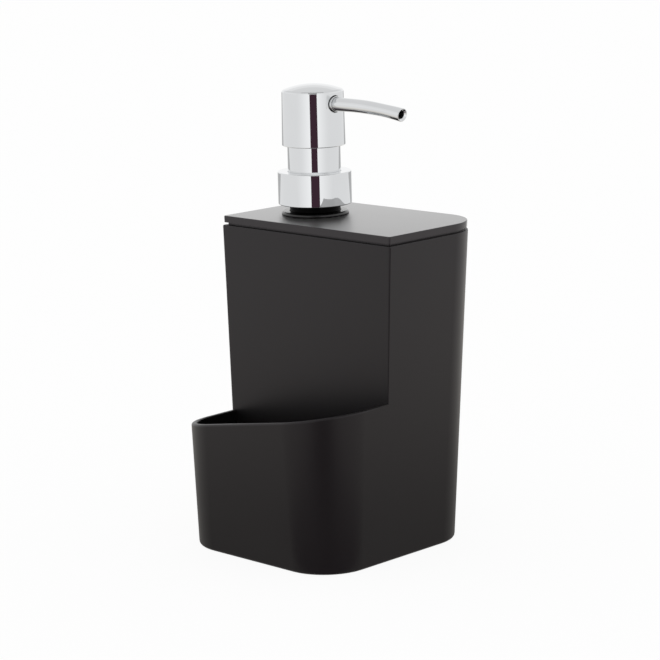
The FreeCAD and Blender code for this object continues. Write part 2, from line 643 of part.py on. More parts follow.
def spring_seat():
    outer = CHAMBER_BORE - HAND_FIT
    ring = tube(outer, outer - SEAT_WALL, CHAMBER_LEDGE, SEAT_TOP)
    half_bar = plate_on_pump(SEAT_BAR, outer - SEAT_WALL / 2, CHAMBER_LEDGE, CHAMBER_LEDGE + SEAT_BAR)
    return ring.fuse([half_bar, about_pump(half_bar, 180)]).removeSplitter()


def arc_pair(start, start_way, end, end_way):
    """Two arcs that join two places and leave each in its own direction."""
    way = start_way + end_way
    gap = end - start
    square = way.dot(way) - 4
    half = gap.dot(way)
    reach = (half - math.sqrt(half ** 2 - square * gap.dot(gap))) / square
    first = start + start_way * reach
    second = end - end_way * reach
    joint = (first + second) * 0.5
    arcs = []
    for a, corner, b in ((start, first, joint), (joint, second, end)):
        chord_middle = (a + b) * 0.5
        half_turn = math.acos(min(1, (chord_middle - a).Length / reach))
        share = math.cos(half_turn) / (1 + math.cos(half_turn))
        arcs.append(Part.Arc(a, chord_middle + (corner - chord_middle) * share, b).toShape())
    return arcs


def return_spring():
    """One wire, wound closer at its ends, in quarter turns."""
    low = SEAT_TOP + SPRING_WIRE + RUNNING_FIT
    rise = PLUG_BOTTOM - SPRING_WIRE - RUNNING_FIT - low
    quarters = 4 * SPRING_TURNS

    def place(quarter):
        angle = math.pi / 2 * quarter
        share = quarter / quarters
        height = share - SPRING_SETTLE * math.sin(2 * math.pi * share) / (2 * math.pi)
        return Vector(
            PUMP_X + SPRING_RADIUS * math.cos(angle), PUMP_Y + SPRING_RADIUS * math.sin(angle),
            low + rise * height)

    def direction(quarter):
        angle = math.pi / 2 * quarter
        share = quarter / quarters
        climb = rise / quarters * (1 - SPRING_SETTLE * math.cos(2 * math.pi * share))
        run = SPRING_RADIUS * math.pi / 2
        return Vector(-run * math.sin(angle), run * math.cos(angle), climb).normalize()

    arcs = []
    for quarter in range(quarters):
        arcs += arc_pair(
            place(quarter), direction(quarter), place(quarter + 1), direction(quarter + 1))
    # the least gap between turns, measured between points half a turn or more apart along the wire
    marks = [arc.valueAt(arc.FirstParameter) for arc in arcs]
    turn_apart = len(arcs) // (2 * SPRING_TURNS)
    spans = [(b - a).Length for i, a in enumerate(marks) for b in marks[i + turn_apart:]]
    print("return_spring least gap between turns", round(min(spans) - 2 * SPRING_WIRE, 2))
    outward = Vector(SPRING_WIRE, 0, 0)
    upward = direction(0).cross(outward)
    section = []
    for side in range(SPRING_SIDES + 1):
        angle = 2 * math.pi * side / SPRING_SIDES
        section.append(place(0) + outward * math.cos(angle) + upward * math.sin(angle))
    return Part.Wire(arcs).makePipeShell([Part.makePolygon(section)], True, False)


def inlet_ball():
    return Part.makeSphere(BALL_RADIUS, Vector(PUMP_X, PUMP_Y, BALL_CENTRE))


def dip_tube():
    pipe = tube(TUBE_RADIUS, TUBE_RADIUS - TUBE_WALL, TUBE_BOTTOM, TUBE_TOP)
    # the lower end is cut aslant so that it can't seal itself on the tank's floor
    far = 4 * TUBE_RADIUS
    slant = Part.Face(Part.makePolygon([
        Vector(PUMP_X - TUBE_RADIUS, PUMP_Y - far, TUBE_BOTTOM),
        Vector(PUMP_X + TUBE_RADIUS, PUMP_Y - far, TUBE_BOTTOM),
        Vector(PUMP_X + TUBE_RADIUS, PUMP_Y - far, TUBE_BOTTOM + 2 * TUBE_RADIUS),
        Vector(PUMP_X - TUBE_RADIUS, PUMP_Y - far, TUBE_BOTTOM)])).extrude(Vector(0, 2 * far, 0))
    return pipe.cut(slant)


PARTS = (
    caddy_body, lid, neck_bush, neck_gasket, closure, collar_cover, guide_sleeve, head_shell,
    head_core, spout_tube, spout_ring, pump_chamber, chaplet, piston_stem, piston_cup, stem_plug,
    spring_seat, return_spring, inlet_ball, dip_tube)

os.makedirs("parts", exist_ok=True)
for make in PARTS:
    piece = make()
    name = make.__name__
    piece.exportStep("parts/" + name + ".step")
    box = piece.BoundBox
    print(name, "valid" if piece.isValid() else "NOT VALID", "solids", len(piece.Solids),
          "volume", round(piece.Volume, 1), "z", round(box.ZMin, 2), round(box.ZMax, 2))
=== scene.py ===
"""Soap pump caddy in satin black plastic with a chrome lotion pump, on a white table."""

import math

import bmesh
import bpy
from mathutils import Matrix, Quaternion, Vector


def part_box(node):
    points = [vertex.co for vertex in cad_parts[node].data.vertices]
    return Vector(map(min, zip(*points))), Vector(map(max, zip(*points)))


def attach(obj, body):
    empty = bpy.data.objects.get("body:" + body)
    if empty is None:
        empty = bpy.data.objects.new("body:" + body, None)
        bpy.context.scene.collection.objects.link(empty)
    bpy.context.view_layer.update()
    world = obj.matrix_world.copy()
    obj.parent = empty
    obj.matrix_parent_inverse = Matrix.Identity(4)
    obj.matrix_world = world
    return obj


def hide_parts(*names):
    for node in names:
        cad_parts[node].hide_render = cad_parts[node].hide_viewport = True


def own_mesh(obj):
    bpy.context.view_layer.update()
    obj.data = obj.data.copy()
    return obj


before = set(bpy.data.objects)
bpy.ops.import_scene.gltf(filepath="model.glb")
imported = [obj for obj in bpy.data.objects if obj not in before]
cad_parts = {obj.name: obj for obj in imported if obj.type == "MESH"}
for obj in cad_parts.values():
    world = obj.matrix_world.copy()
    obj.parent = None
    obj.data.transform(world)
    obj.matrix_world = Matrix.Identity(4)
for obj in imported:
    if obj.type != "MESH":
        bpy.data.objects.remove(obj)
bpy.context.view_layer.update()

# Caddy moulding
# One injection-moulded piece in satin black plastic: the soap tank, and in front of it an open pocket
# for a sponge, with a rim that slopes up to the right. It stands on a low ring round its base.
body_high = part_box("caddy_body")[1]
tank_height = body_high.z
tank_depth = 0.0671
pocket_depth = 0.0391
mouth_edge = 0.0006
base_round = 0.0015
rim_round = 0.0011
front_edge_round = 0.0008
side_lean = math.tan(math.radians(1.97))
end_lean = math.tan(math.radians(2.62))
tank_front = body_high.y + end_lean * mouth_edge - tank_depth
rear_corner = 0.022
front_corner = 0.0227
corner_growth = math.tan(math.radians(3.43))
rim_height = 0.0659
rim_slope = math.tan(math.radians(9.7))
tank_wall = 0.003
tank_room_corner = 0.003
pocket_wall = 0.0026
foot_height = 0.0012
foot_ring = 0.003
floor_top = 0.004
corner_steps = 20


def same(value, other, slack=1e-6):
    """Whether two places or sizes are the same but for rounding."""
    return abs(value - other) < slack


def edit(piece):
    """Everything else is deselected and the piece is opened in edit mode with nothing selected."""
    if bpy.context.mode != "OBJECT":
        bpy.ops.object.mode_set(mode="OBJECT")
    bpy.ops.object.select_all(action="DESELECT")
    piece.select_set(True)
    bpy.context.view_layer.objects.active = piece
    bpy.ops.object.mode_set(mode="EDIT")
    bpy.ops.mesh.select_mode(type="VERT")
    bpy.ops.mesh.select_all(action="DESELECT")


def choose(piece, kind, test):
    """Selects the vertices, edges or faces that pass the test, in edit mode."""
    mesh = bmesh.from_edit_mesh(piece.data)
    bpy.ops.mesh.select_all(action="DESELECT")
    bpy.ops.mesh.select_mode(type={"verts": "VERT", "edges": "EDGE", "faces": "FACE"}[kind])
    for item in getattr(mesh, kind):
        if not item.hide and test(item):
            item.select_set(True)
    mesh.select_flush_mode()
    bmesh.update_edit_mesh(piece.data)


def close(piece):
    """Merges doubles, turns the faces outwards and goes back to object mode."""
    bpy.ops.mesh.select_mode(type="VERT")
    bpy.ops.mesh.select_all(action="SELECT")
    bpy.ops.mesh.remove_doubles(threshold=1e-7)
    bpy.ops.mesh.normals_make_consistent(inside=False)
    if bmesh.from_edit_mesh(piece.data).calc_volume(signed=True) < 0:
        bpy.ops.mesh.flip_normals()
    bpy.ops.mesh.select_all(action="DESELECT")
    bpy.ops.object.mode_set(mode="OBJECT")
    return piece


def new_piece(name):
    """An empty piece, open in edit mode."""
    if bpy.context.mode != "OBJECT":
        bpy.ops.object.mode_set(mode="OBJECT")
    bpy.ops.object.select_all(action="DESELECT")
    bpy.ops.mesh.primitive_plane_add(size=0.01)
    piece = bpy.context.object
    piece.name = name
    bpy.ops.object.mode_set(mode="EDIT")
    bpy.ops.mesh.select_mode(type="VERT")
    bpy.ops.mesh.select_all(action="SELECT")
    bpy.ops.mesh.delete(type="VERT")
    return piece


def half_width(z):
    """Half the moulding's width at a height: its sides lean outwards."""
    return body_high.x - side_lean * (tank_height - mouth_edge - z)


def rear_y(z):
    """Where the moulding's rear is at a height."""
    return body_high.y - end_lean * (tank_height - mouth_edge - z)


def moulded_outline(z, inset):
    """The whole caddy's outline at a height, moved in from the outside."""
    return {
        "z": z, "side": half_width(z) - inset, "rear": rear_y(z) - inset,
        "front": tank_front - pocket_depth - end_lean * z + inset,
        "front_radius": front_corner + corner_growth * z - inset, "rear_radius": rear_corner - inset}


def tank_outline(z, inset, front_radius):
    """The tank's outline at a height, moved in from the outside."""
    return {
        "z": z, "side": half_width(z) - inset, "rear": rear_y(z) - inset,
        "front": tank_front + inset, "front_radius": front_radius, "rear_radius": rear_corner - inset}


def stack(name, outlines):
    """A piece drawn through level outlines, one after the other."""
    piece = new_piece(name)
    last = outlines[0]
    middle = (last["front"] + last["rear"]) / 2
    bpy.ops.mesh.primitive_plane_add(size=1, location=(0, middle, last["z"]))
    bpy.ops.transform.resize(
        value=(2 * last["side"], last["rear"] - last["front"], 1),
        center_override=(0, middle, last["z"]))
    for end in ("front", "rear"):
        choose(piece, "verts", lambda v: same(v.co.y, last[end]))
        bpy.ops.mesh.bevel(
            offset=last[end + "_radius"], offset_type="OFFSET", segments=corner_steps,
            affect="VERTICES")
    bpy.ops.mesh.select_all(action="SELECT")
    for this in outlines[1:]:
        bpy.ops.mesh.extrude_edges_move()
        bpy.ops.mesh.hide(unselected=True)
        for side in (-1, 1):
            for end in ("front", "rear"):
                # each corner slides to its new place, and its round grows or shrinks about it
                corner = Vector((side * last["side"], last[end], last["z"]))
                moved = Vector((side * this["side"], this[end], this["z"]))
                choose(piece, "verts", lambda v: v.co.x * side > 0 and (v.co.y > middle) == (end == "rear"))
                growth = this[end + "_radius"] / last[end + "_radius"]
                bpy.ops.transform.resize(value=(growth, growth, 1), center_override=corner)
                bpy.ops.transform.translate(value=moved - corner)
        bpy.ops.mesh.select_all(action="SELECT")
        bpy.ops.mesh.reveal(select=False)
        last = this
    bpy.ops.mesh.edge_face_add()
    return piece


def round_loop(piece, test, size, steps, leave=lambda edge: False):
    """Rounds the edges between the faces that pass the test and the faces that don't."""
    choose(piece, "edges", lambda edge: not leave(edge) and {
        test(face) for face in edge.link_faces} == {True, False})
    bpy.ops.mesh.bevel(
        offset=size, offset_type="OFFSET", segments=steps, profile=0.5, affect="EDGES")


def merge_in(piece, other, operation):
    """Adds or cuts away another closed piece, which is then deleted."""
    if bpy.context.mode != "OBJECT":
        bpy.ops.object.mode_set(mode="OBJECT")
    bpy.ops.object.select_all(action="DESELECT")
    bpy.context.view_layer.objects.active = piece
    piece.select_set(True)
    bpy.ops.object.modifier_add(type="BOOLEAN")
    step = piece.modifiers[-1]
    step.operation = operation
    step.solver = "EXACT"
    step.object = other
    bpy.ops.object.modifier_apply(modifier=step.name)
    bpy.ops.object.select_all(action="DESELECT")
    other.select_set(True)
    bpy.ops.object.delete()


def smooth(piece, angle=30):
    """Smooth shading up to an angle, with the large faces kept flat."""
    bpy.ops.object.select_all(action="DESELECT")
    bpy.context.view_layer.objects.active = piece
    piece.select_set(True)
    bpy.ops.object.shade_smooth_by_angle(angle=math.radians(angle))
    bpy.ops.object.modifier_add(type="WEIGHTED_NORMAL")
    step = piece.modifiers[-1]
    step.keep_sharp = True
    bpy.ops.object.modifier_apply(modifier=step.name)


def seat(piece, body, material_slot, material, *nodes):
    """The finished piece rides on its body and stands for its plain solids."""
    piece.data.materials.clear()
    piece.data.materials.append(material)
    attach(piece, body)
    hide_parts(*nodes)


def give_painted_shade(piece, material, test):
    """The faces that pass the test get a second, darker material of their own, which paints shade on them.
    """
    piece.data.materials.append(material)
    edit(piece)
    choose(piece, "faces", test)
    piece.active_material_index = 1
    bpy.ops.object.material_slot_assign()
    bpy.ops.object.mode_set(mode="OBJECT")


def on_rim(face):
    """Whether a face lies on the sloping rim."""
    return all(same(v.co.z, rim_height + rim_slope * v.co.x, 1e-5) for v in face.verts)


def at_height(z):
    """A test for faces that lie level at a height."""
    return lambda face: all(same(v.co.z, z) for v in face.verts)


def on_tank_front(edge):
    """Whether an edge lies in the plane of the tank's front."""
    return all(same(v.co.y, tank_front) for v in edge.verts)


# the whole outline is drawn as a block with a rounded base, and the pocket is sunk in front
caddy = stack("caddy_moulding", [moulded_outline(0, 0), moulded_outline(tank_height, 0)])
round_loop(caddy, at_height(0), base_round, steps=4)
close(caddy)
pocket_room = stack("pocket_room", [
    moulded_outline(floor_top, pocket_wall), moulded_outline(tank_height + floor_top, pocket_wall)])
bpy.ops.mesh.select_all(action="SELECT")
bpy.ops.mesh.bisect(
    plane_co=(0, tank_front, 0), plane_no=(0, 1, 0), clear_outer=True, use_fill=True)
close(pocket_room)
merge_in(caddy, pocket_room, "DIFFERENCE")

# everything in front of the tank and above the sloping rim is cut away
far = 0.09
bpy.ops.mesh.primitive_cube_add(size=2 * far, location=(0, tank_front - far, rim_height + far))
above_rim = bpy.context.object
edit(above_rim)
for side in (-1, 1):
    choose(above_rim, "verts", lambda v: v.co.z < 0 and v.co.x * side > 0)
    bpy.ops.transform.translate(value=(0, 0, side * far * rim_slope))
bpy.ops.object.mode_set(mode="OBJECT")
merge_in(caddy, above_rim, "DIFFERENCE")
edit(caddy)
choose(caddy, "edges", lambda edge: on_tank_front(edge) and all(
    abs(v.co.x) > half_width(v.co.z) - 1e-5 for v in edge.verts))
bpy.ops.mesh.bevel(offset=front_edge_round, offset_type="OFFSET", segments=4, affect="EDGES")
round_loop(caddy, on_rim, rim_round, steps=4, leave=on_tank_front)
close(caddy)

# the tank is hollowed from above, and the underside inside the foot ring
tank_room = stack("tank_room", [
    tank_outline(floor_top, tank_wall, tank_room_corner),
    tank_outline(tank_height + floor_top, tank_wall, tank_room_corner)])
close(tank_room)
merge_in(caddy, tank_room, "DIFFERENCE")
foot_room = stack(
    "foot_room", [moulded_outline(-foot_height, foot_ring), moulded_outline(foot_height, foot_ring)])
close(foot_room)
merge_in(caddy, foot_room, "DIFFERENCE")
edit(caddy)
round_loop(caddy, at_height(tank_height), mouth_edge, steps=3)
close(caddy)
smooth(caddy)


def moulding_grain():
    """A fine even spark-eroded texture: a mask that varies over the surface and a bumped normal."""
    group = bpy.data.node_groups.new("moulding_grain", "ShaderNodeTree")
    group.interface.new_socket("Scale", in_out="INPUT", socket_type="NodeSocketFloat")
    group.interface.new_socket("Depth", in_out="INPUT", socket_type="NodeSocketFloat")
    group.interface.new_socket("Mask", in_out="OUTPUT", socket_type="NodeSocketFloat")
    group.interface.new_socket("Normal", in_out="OUTPUT", socket_type="NodeSocketVector")
    links = group.links
    given = group.nodes.new("NodeGroupInput")
    made = group.nodes.new("NodeGroupOutput")
    place = group.nodes.new("ShaderNodeTexCoord")
    grain = group.nodes.new("ShaderNodeTexNoise")
    grain.inputs["Detail"].default_value = 3.0
    links.new(place.outputs["Object"], grain.inputs["Vector"])
    links.new(given.outputs["Scale"], grain.inputs["Scale"])
    flow = group.nodes.new("ShaderNodeTexNoise")
    flow.inputs["Scale"].default_value = 28.0
    flow.inputs["Detail"].default_value = 2.0
    links.new(place.outputs["Object"], flow.inputs["Vector"])
    both = group.nodes.new("ShaderNodeMath")
    both.operation = "MULTIPLY"
    links.new(grain.outputs["Fac"], both.inputs[0])
    links.new(flow.outputs["Fac"], both.inputs[1])
    bump = group.nodes.new("ShaderNodeBump")
    bump.inputs["Distance"].default_value = 0.0001
    links.new(given.outputs["Depth"], bump.inputs["Strength"])
    links.new(grain.outputs["Fac"], bump.inputs["Height"])
    links.new(both.outputs["Value"], made.inputs["Mask"])
    links.new(bump.outputs["Normal"], made.inputs["Normal"])
    return group


grain_group = moulding_grain()


def new_material(name):
    """A material with nodes, and its nodes and links."""
    material = bpy.data.materials.new(name)
    material.use_nodes = True
    return material, material.node_tree.nodes, material.node_tree.links


def grained(name, low, high, rough_low, rough_high, grain_scale, grain_depth):
    """A material whose tone and gloss vary slightly with its grain, with its shader and its grain."""
    material, nodes, links = new_material(name)
    shader = nodes["Principled BSDF"]
    grain = nodes.new("ShaderNodeGroup")
    grain.node_tree = grain_group
    grain.inputs["Scale"].default_value = grain_scale
    grain.inputs["Depth"].default_value = grain_depth
    tone = nodes.new("ShaderNodeMix")
    tone.data_type = "RGBA"
    tone.inputs["A"].default_value = (*low, 1)
    tone.inputs["B"].default_value = (*high, 1)
    links.new(grain.outputs["Mask"], tone.inputs["Factor"])
    links.new(tone.outputs["Result"], shader.inputs["Base Color"])
    gloss = nodes.new("ShaderNodeMapRange")
    gloss.inputs["To Min"].default_value = rough_low
    gloss.inputs["To Max"].default_value = rough_high
    links.new(grain.outputs["Mask"], gloss.inputs["Value"])
    links.new(gloss.outputs["Result"], shader.inputs["Roughness"])
    return material, shader, grain


def plastic(name, dark, light, rough_low, rough_high, grain_scale, grain_depth, shine=0.5, tint=(1, 1, 1)):
    """A moulded plastic with a fine raised grain."""
    material, shader, grain = grained(name, dark, light, rough_low, rough_high, grain_scale, grain_depth)
    shader.inputs["Specular IOR Level"].default_value = shine
    shader.inputs["Specular Tint"].default_value = (*tint, 1)
    material.node_tree.links.new(grain.outputs["Normal"], shader.inputs["Normal"])
    return material


cool_sheen = (1, 0.93, 0.98)
body_black = plastic(
    "satin_black_body", dark=(0.0036, 0.0033, 0.0034), light=(0.0056, 0.0052, 0.0053), rough_low=0.34,
    rough_high=0.46, grain_scale=2600, grain_depth=0.12, shine=0.345, tint=cool_sheen)
seat(caddy, "caddy", "body_black", body_black, "caddy_body")

# Lid
# A flat plate in the same satin black on a narrow seat that leaves a shadow gap, with a skirt that goes
# down into the tank's mouth. The solid's two ribs under the plate are left out here.
lid_low, lid_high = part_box("lid")
shadow_gap = 0.0012
plate_bottom = tank_height + shadow_gap
plate_inset = 0.0005
plate_corner = 0.001
plate_edge = 0.0004
seat_inset = 0.0018
skirt_play = 0.0003
skirt_wall = 0.0016
skirt_outside = tank_wall + skirt_play
skirt_inside = skirt_outside + skirt_wall
skirt_corner = 0.003
lid = stack("lid_plate", [
    tank_outline(lid_high.z, plate_inset, plate_corner),
    tank_outline(plate_bottom, plate_inset, plate_corner),
    tank_outline(plate_bottom, seat_inset, plate_corner),
    tank_outline(tank_height, seat_inset, plate_corner),
    tank_outline(tank_height, skirt_outside, skirt_corner),
    tank_outline(lid_low.z, skirt_outside, skirt_corner),
    tank_outline(lid_low.z, skirt_inside, skirt_corner - skirt_wall),
    tank_outline(plate_bottom, skirt_inside, skirt_corner - skirt_wall)])
round_loop(lid, at_height(lid_high.z), plate_edge, steps=3)
close(lid)

# the neck bush goes through a round hole on the pump's axis
collar_low, collar_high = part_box("collar_cover")
pump = (collar_low + collar_high) / 2
shank_radius = 0.0123
fit = 0.0001
drill_length = 0.02
bpy.ops.object.select_all(action="DESELECT")
bpy.ops.mesh.primitive_cylinder_add(
    vertices=96, radius=shank_radius + fit, depth=drill_length, location=(pump.x, pump.y, lid_high.z))
hole = bpy.context.object
merge_in(lid, hole, "DIFFERENCE")
smooth(lid)
lid_black = plastic(
    "satin_black_lid", dark=(0.009, 0.008, 0.0085), light=(0.015, 0.0135, 0.014), rough_low=0.30,
    rough_high=0.38, grain_scale=2600, grain_depth=0.08, shine=0.42, tint=cool_sheen)


def glancing(material, roughness, start, end, most):
    """Adds a sheen that sets in where the surface is seen at a glancing angle."""
    nodes = material.node_tree.nodes
    links = material.node_tree.links
    sheen = nodes.new("ShaderNodeBsdfGlossy")
    sheen.inputs["Roughness"].default_value = roughness
    facing = nodes.new("ShaderNodeLayerWeight")
    share = nodes.new("ShaderNodeMapRange")
    share.inputs["From Min"].default_value = start
    share.inputs["From Max"].default_value = end
    share.inputs["To Max"].default_value = most
    links.new(facing.outputs["Facing"], share.inputs["Value"])
    both = nodes.new("ShaderNodeMixShader")
    links.new(share.outputs["Result"], both.inputs["Fac"])
    links.new(nodes["Principled BSDF"].outputs["BSDF"], both.inputs[1])
    links.new(sheen.outputs["BSDF"], both.inputs[2])
    links.new(both.outputs["Shader"], nodes["Material Output"].inputs["Surface"])


glancing(lid_black, roughness=0.33, start=0.80, end=0.86, most=0.53)
seat(lid, "lid", "lid_black", lid_black, "lid")

# Neck bush
# Glossy black: a flange that lies on the lid, and the neck that the collar screws on. A bead round its
# shank snaps under the lid. The solid's slots in the shank are left out here.


def turned(name, corners, steps=128, closed=True):
    """A piece turned about the pump's axis from the (radius, height) corners of its section."""
    piece = new_piece(name)
    bpy.ops.mesh.primitive_plane_add(size=0.001)
    bpy.ops.mesh.merge(type="CENTER")
    start, height = corners[0]
    choose(piece, "verts", lambda v: True)
    bpy.ops.transform.translate(value=(pump.x + start, pump.y, height))
    path = corners[1:] + (corners[:1] if closed else [])
    for radius, z in path:
        bpy.ops.mesh.extrude_region_move(
            TRANSFORM_OT_translate={"value": (radius - start, 0, z - height)})
        start, height = radius, z
    bpy.ops.mesh.select_all(action="SELECT")
    bpy.ops.mesh.remove_doubles(threshold=1e-7)
    bpy.ops.mesh.spin(
        steps=steps, angle=2 * math.pi, center=(pump.x, pump.y, 0), axis=(0, 0, 1))
    return close(piece)


def soften(piece, width, steps=3, angle=40):
    """Rounds every edge sharper than the angle."""
    bpy.ops.object.select_all(action="DESELECT")
    bpy.context.view_layer.objects.active = piece
    piece.select_set(True)
    bpy.ops.object.modifier_add(type="BEVEL")
    step = piece.modifiers[-1]
    step.width = width
    step.segments = steps
    step.limit_method = "ANGLE"
    step.angle_limit = math.radians(angle)
    step.use_clamp_overlap = True
    bpy.ops.object.modifier_apply(modifier=step.name)


bush_low, bush_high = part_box("neck_bush")
flange_radius = (bush_high.x - bush_low.x) / 2
flange_height = 0.00175
flange_top = lid_high.z + flange_height
flange_edge = 0.0007
neck_radius = 0.0126
neck_undercut = 0.012
neck_bore = 0.0098
bead_reach = 0.0007
bead_land = 0.00035
bead_top = plate_bottom - fit
undercut_lap = 0.001
undercut_top = collar_low.z + undercut_lap
neck_bottom = collar_low.z + 2 * undercut_lap
bush = turned("neck_and_flange", [
    (neck_bore, bush_low.z), (shank_radius, bush_low.z), (shank_radius + bead_reach, bead_top - bead_land),
    (shank_radius + bead_reach, bead_top), (shank_radius, bead_top), (shank_radius, lid_high.z),
    (flange_radius, lid_high.z), (flange_radius, flange_top - flange_edge),
    (flange_radius - flange_edge, flange_top), (neck_undercut, flange_top),
    (neck_undercut, undercut_top), (neck_radius, neck_bottom),
    (neck_radius, bush_high.z), (neck_bore, bush_high.z)])
soften(bush, width=0.0004)
smooth(bush)
neck_black = plastic(
    "glossy_black_flange", dark=(0.002, 0.002, 0.0022), light=(0.004, 0.0038, 0.004), rough_low=0.14,
    rough_high=0.22, grain_scale=1800, grain_depth=0.03)
seat(bush, "lid", "neck_black", neck_black, "neck_bush")
# The neck under the collar gets a dull, nearly black material: painted shade where the collar overhangs it.
neck_painted_shade = plastic(
    "painted_shade_neck", dark=(0.0006, 0.0005, 0.0006), light=(0.0012, 0.001, 0.0012), rough_low=0.4,
    rough_high=0.5, grain_scale=1800, grain_depth=0.03, shine=0.05)
give_painted_shade(bush, neck_painted_shade, lambda face: all(
    v.co.z > flange_top - 1e-5 and math.hypot(v.co.x - pump.x, v.co.y - pump.y) < neck_radius + fit
    for v in face.verts))

# Screw collar
# A plain black threaded closure inside a drawn, chromed cover. The chrome guide sleeve stands up through
# the cover's hole and the head slides down over it.


def chrome(name, low, high, rough_low, rough_high):
    """Bright metal whose tone and polish vary a little, as on a buffed surface."""
    material, shader = grained(name, low, high, rough_low, rough_high, grain_scale=60, grain_depth=0)[:2]
    shader.inputs["Metallic"].default_value = 1.0
    return material


bright_chrome = chrome(
    "bright_chrome", low=(0.66, 0.67, 0.68), high=(0.71, 0.72, 0.73), rough_low=0.02, rough_high=0.05)
collar_radius = (collar_high.x - collar_low.x) / 2
collar_wall = 0.001
sleeve_low, sleeve_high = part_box("guide_sleeve")
sleeve_radius = 0.0125
cover = turned("collar_chrome", [
    (collar_radius - collar_wall, collar_low.z), (collar_radius, collar_low.z),
    (collar_radius, collar_high.z), (sleeve_radius + fit, collar_high.z),
    (sleeve_radius + fit, collar_high.z - collar_wall),
    (collar_radius - collar_wall, collar_high.z - collar_wall)])
soften(cover, width=0.0004, steps=4)
smooth(cover)
seat(cover, "collar", "chrome", bright_chrome, "collar_cover")

sleeve_flange = (sleeve_high.x - sleeve_low.x) / 2
sleeve_wall = 0.001
sleeve = turned("sleeve_chrome", [
    (sleeve_radius - sleeve_wall, sleeve_low.z), (sleeve_flange, sleeve_low.z),
    (sleeve_flange, collar_high.z - collar_wall), (sleeve_radius, collar_high.z - collar_wall),
    (sleeve_radius, sleeve_high.z), (sleeve_radius - sleeve_wall, sleeve_high.z)])
soften(sleeve, width=0.0003)
smooth(sleeve)
seat(sleeve, "collar", "chrome", bright_chrome, "guide_sleeve")

# Pump head
# A drawn, chromed cap with a low dome, pressed over a moulded core. It slides down over the sleeve.
head_low, head_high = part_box("head_shell")
head_radius = (head_high.x - head_low.x) / 2
inner_dome_height = 0.004
head_shoulder = head_high.z - inner_dome_height
head_taper = 0.0004
head_top_radius = head_radius - head_taper
head_wall = 0.0015
dome_radius = 0.038
dome_edge = 0.0014
dome_steps = 12
ring_gap = 0.0004


def dome(radius, top):
    """The corners of a low spherical dome with a rounded edge, from its side up to the axis."""
    edge_place = radius - dome_edge
    ball_centre = top - dome_radius
    edge_height = ball_centre + math.sqrt((dome_radius - dome_edge) ** 2 - edge_place ** 2)
    meeting = math.asin(edge_place / (dome_radius - dome_edge))
    shares = [step / dome_steps for step in range(dome_steps + 1)]
    edge = [math.pi / 2 + (meeting - math.pi / 2) * share for share in shares]
    crown = [meeting * (1 - share) for share in shares[1:]]
    return [
        (edge_place + dome_edge * math.sin(turn), edge_height + dome_edge * math.cos(turn))
        for turn in edge] + [
        (dome_radius * math.sin(turn), ball_centre + dome_radius * math.cos(turn)) for turn in crown]


head = turned("head_chrome", [
    (0, head_high.z - head_wall), (head_top_radius - head_wall, head_shoulder - head_wall),
    (head_radius - head_wall, head_low.z), (head_radius, head_low.z)]
    + dome(head_top_radius, head_high.z), closed=False)
soften(head, width=0.0004, steps=4, angle=60)
ring_low, ring_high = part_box("spout_ring")
spout_z = (ring_low.z + ring_high.z) / 2
ring_radius = (ring_high.z - ring_low.z) / 2
bpy.ops.object.select_all(action="DESELECT")
bpy.ops.mesh.primitive_cylinder_add(
    vertices=64, radius=ring_radius + ring_gap, depth=drill_length,
    location=(pump.x + head_radius, pump.y, spout_z), rotation=(0, math.pi / 2, 0))
merge_in(head, bpy.context.object, "DIFFERENCE")
smooth(head)
seat(head, "head", "chrome", bright_chrome, "head_shell")

# Spout
# A chromed tube, bent down a little towards its countersunk mouth, in a plain chrome ring that stands in
# a slightly wider hole in the head. Its bore goes only a little way in, and the solid's spigot is left out.
spout_root = 0.00325
spout_tip = 0.00315
spout_waist = 0.055
spout_mouth = 0.0028
spout_countersink = 0.00075
spout_bore = 0.0019
spout_bore_depth = 0.011
spout_straight = 0.024
spout_reach = 0.057
spout_bend = math.radians(9)
bend_steps = 14
waist_start = 4
bend_radius = (spout_reach - spout_straight) / math.sin(spout_bend)
spout = new_piece("spout_chrome")
bpy.ops.mesh.primitive_circle_add(
    vertices=48, radius=spout_root, fill_type="NOTHING",
    location=(ring_low.x, pump.y, spout_z), rotation=(0, math.pi / 2, 0))
straight_end = pump.x + spout_straight
bpy.ops.mesh.extrude_edges_move(
    TRANSFORM_OT_translate={"value": (straight_end - ring_low.x, 0, 0)})
bpy.ops.transform.resize(
    value=(1, spout_tip / spout_root, spout_tip / spout_root),
    center_override=(straight_end, pump.y, spout_z))
bpy.ops.mesh.spin(
    steps=bend_steps, angle=-spout_bend, center=(straight_end, pump.y, spout_z - bend_radius),
    axis=(0, 1, 0))


def on_bend(turn):
    """The middle of the tube at an angle round its bend, and the direction in which it goes there."""
    middle = Vector((
        straight_end + bend_radius * math.sin(turn), pump.y,
        spout_z - bend_radius * (1 - math.cos(turn))))
    return middle, Vector((math.cos(turn), 0, -math.sin(turn)))


# the tube narrows a little and widens again to its tip
for step in range(waist_start + 1, bend_steps):
    middle, ahead = on_bend(spout_bend * step / bend_steps)
    choose(spout, "verts", lambda v: same((v.co - middle).dot(ahead), 0, 1e-5) and v.co.x > straight_end)
    share = (step - waist_start) / (bend_steps - waist_start)
    narrow = 1 - spout_waist * math.sin(math.pi * share) ** 2
    bpy.ops.transform.resize(value=(narrow, narrow, narrow), center_override=middle)
tip, ahead = on_bend(spout_bend)
choose(spout, "verts", lambda v: same((v.co - tip).dot(ahead), 0, 1e-5))
for size, depth in (
        (spout_mouth / spout_tip, 0), (spout_bore / spout_mouth, spout_countersink), (1, spout_bore_depth)):
    bpy.ops.mesh.extrude_edges_move(TRANSFORM_OT_translate={"value": -ahead * depth})
    bpy.ops.transform.resize(value=(size, size, size), center_override=tip - ahead * depth)
bpy.ops.mesh.edge_face_add()
bpy.ops.mesh.select_all(action="DESELECT")
bpy.ops.mesh.select_non_manifold(extend=False)
bpy.ops.mesh.edge_face_add()
close(spout)
soften(spout, width=0.0002, angle=60)
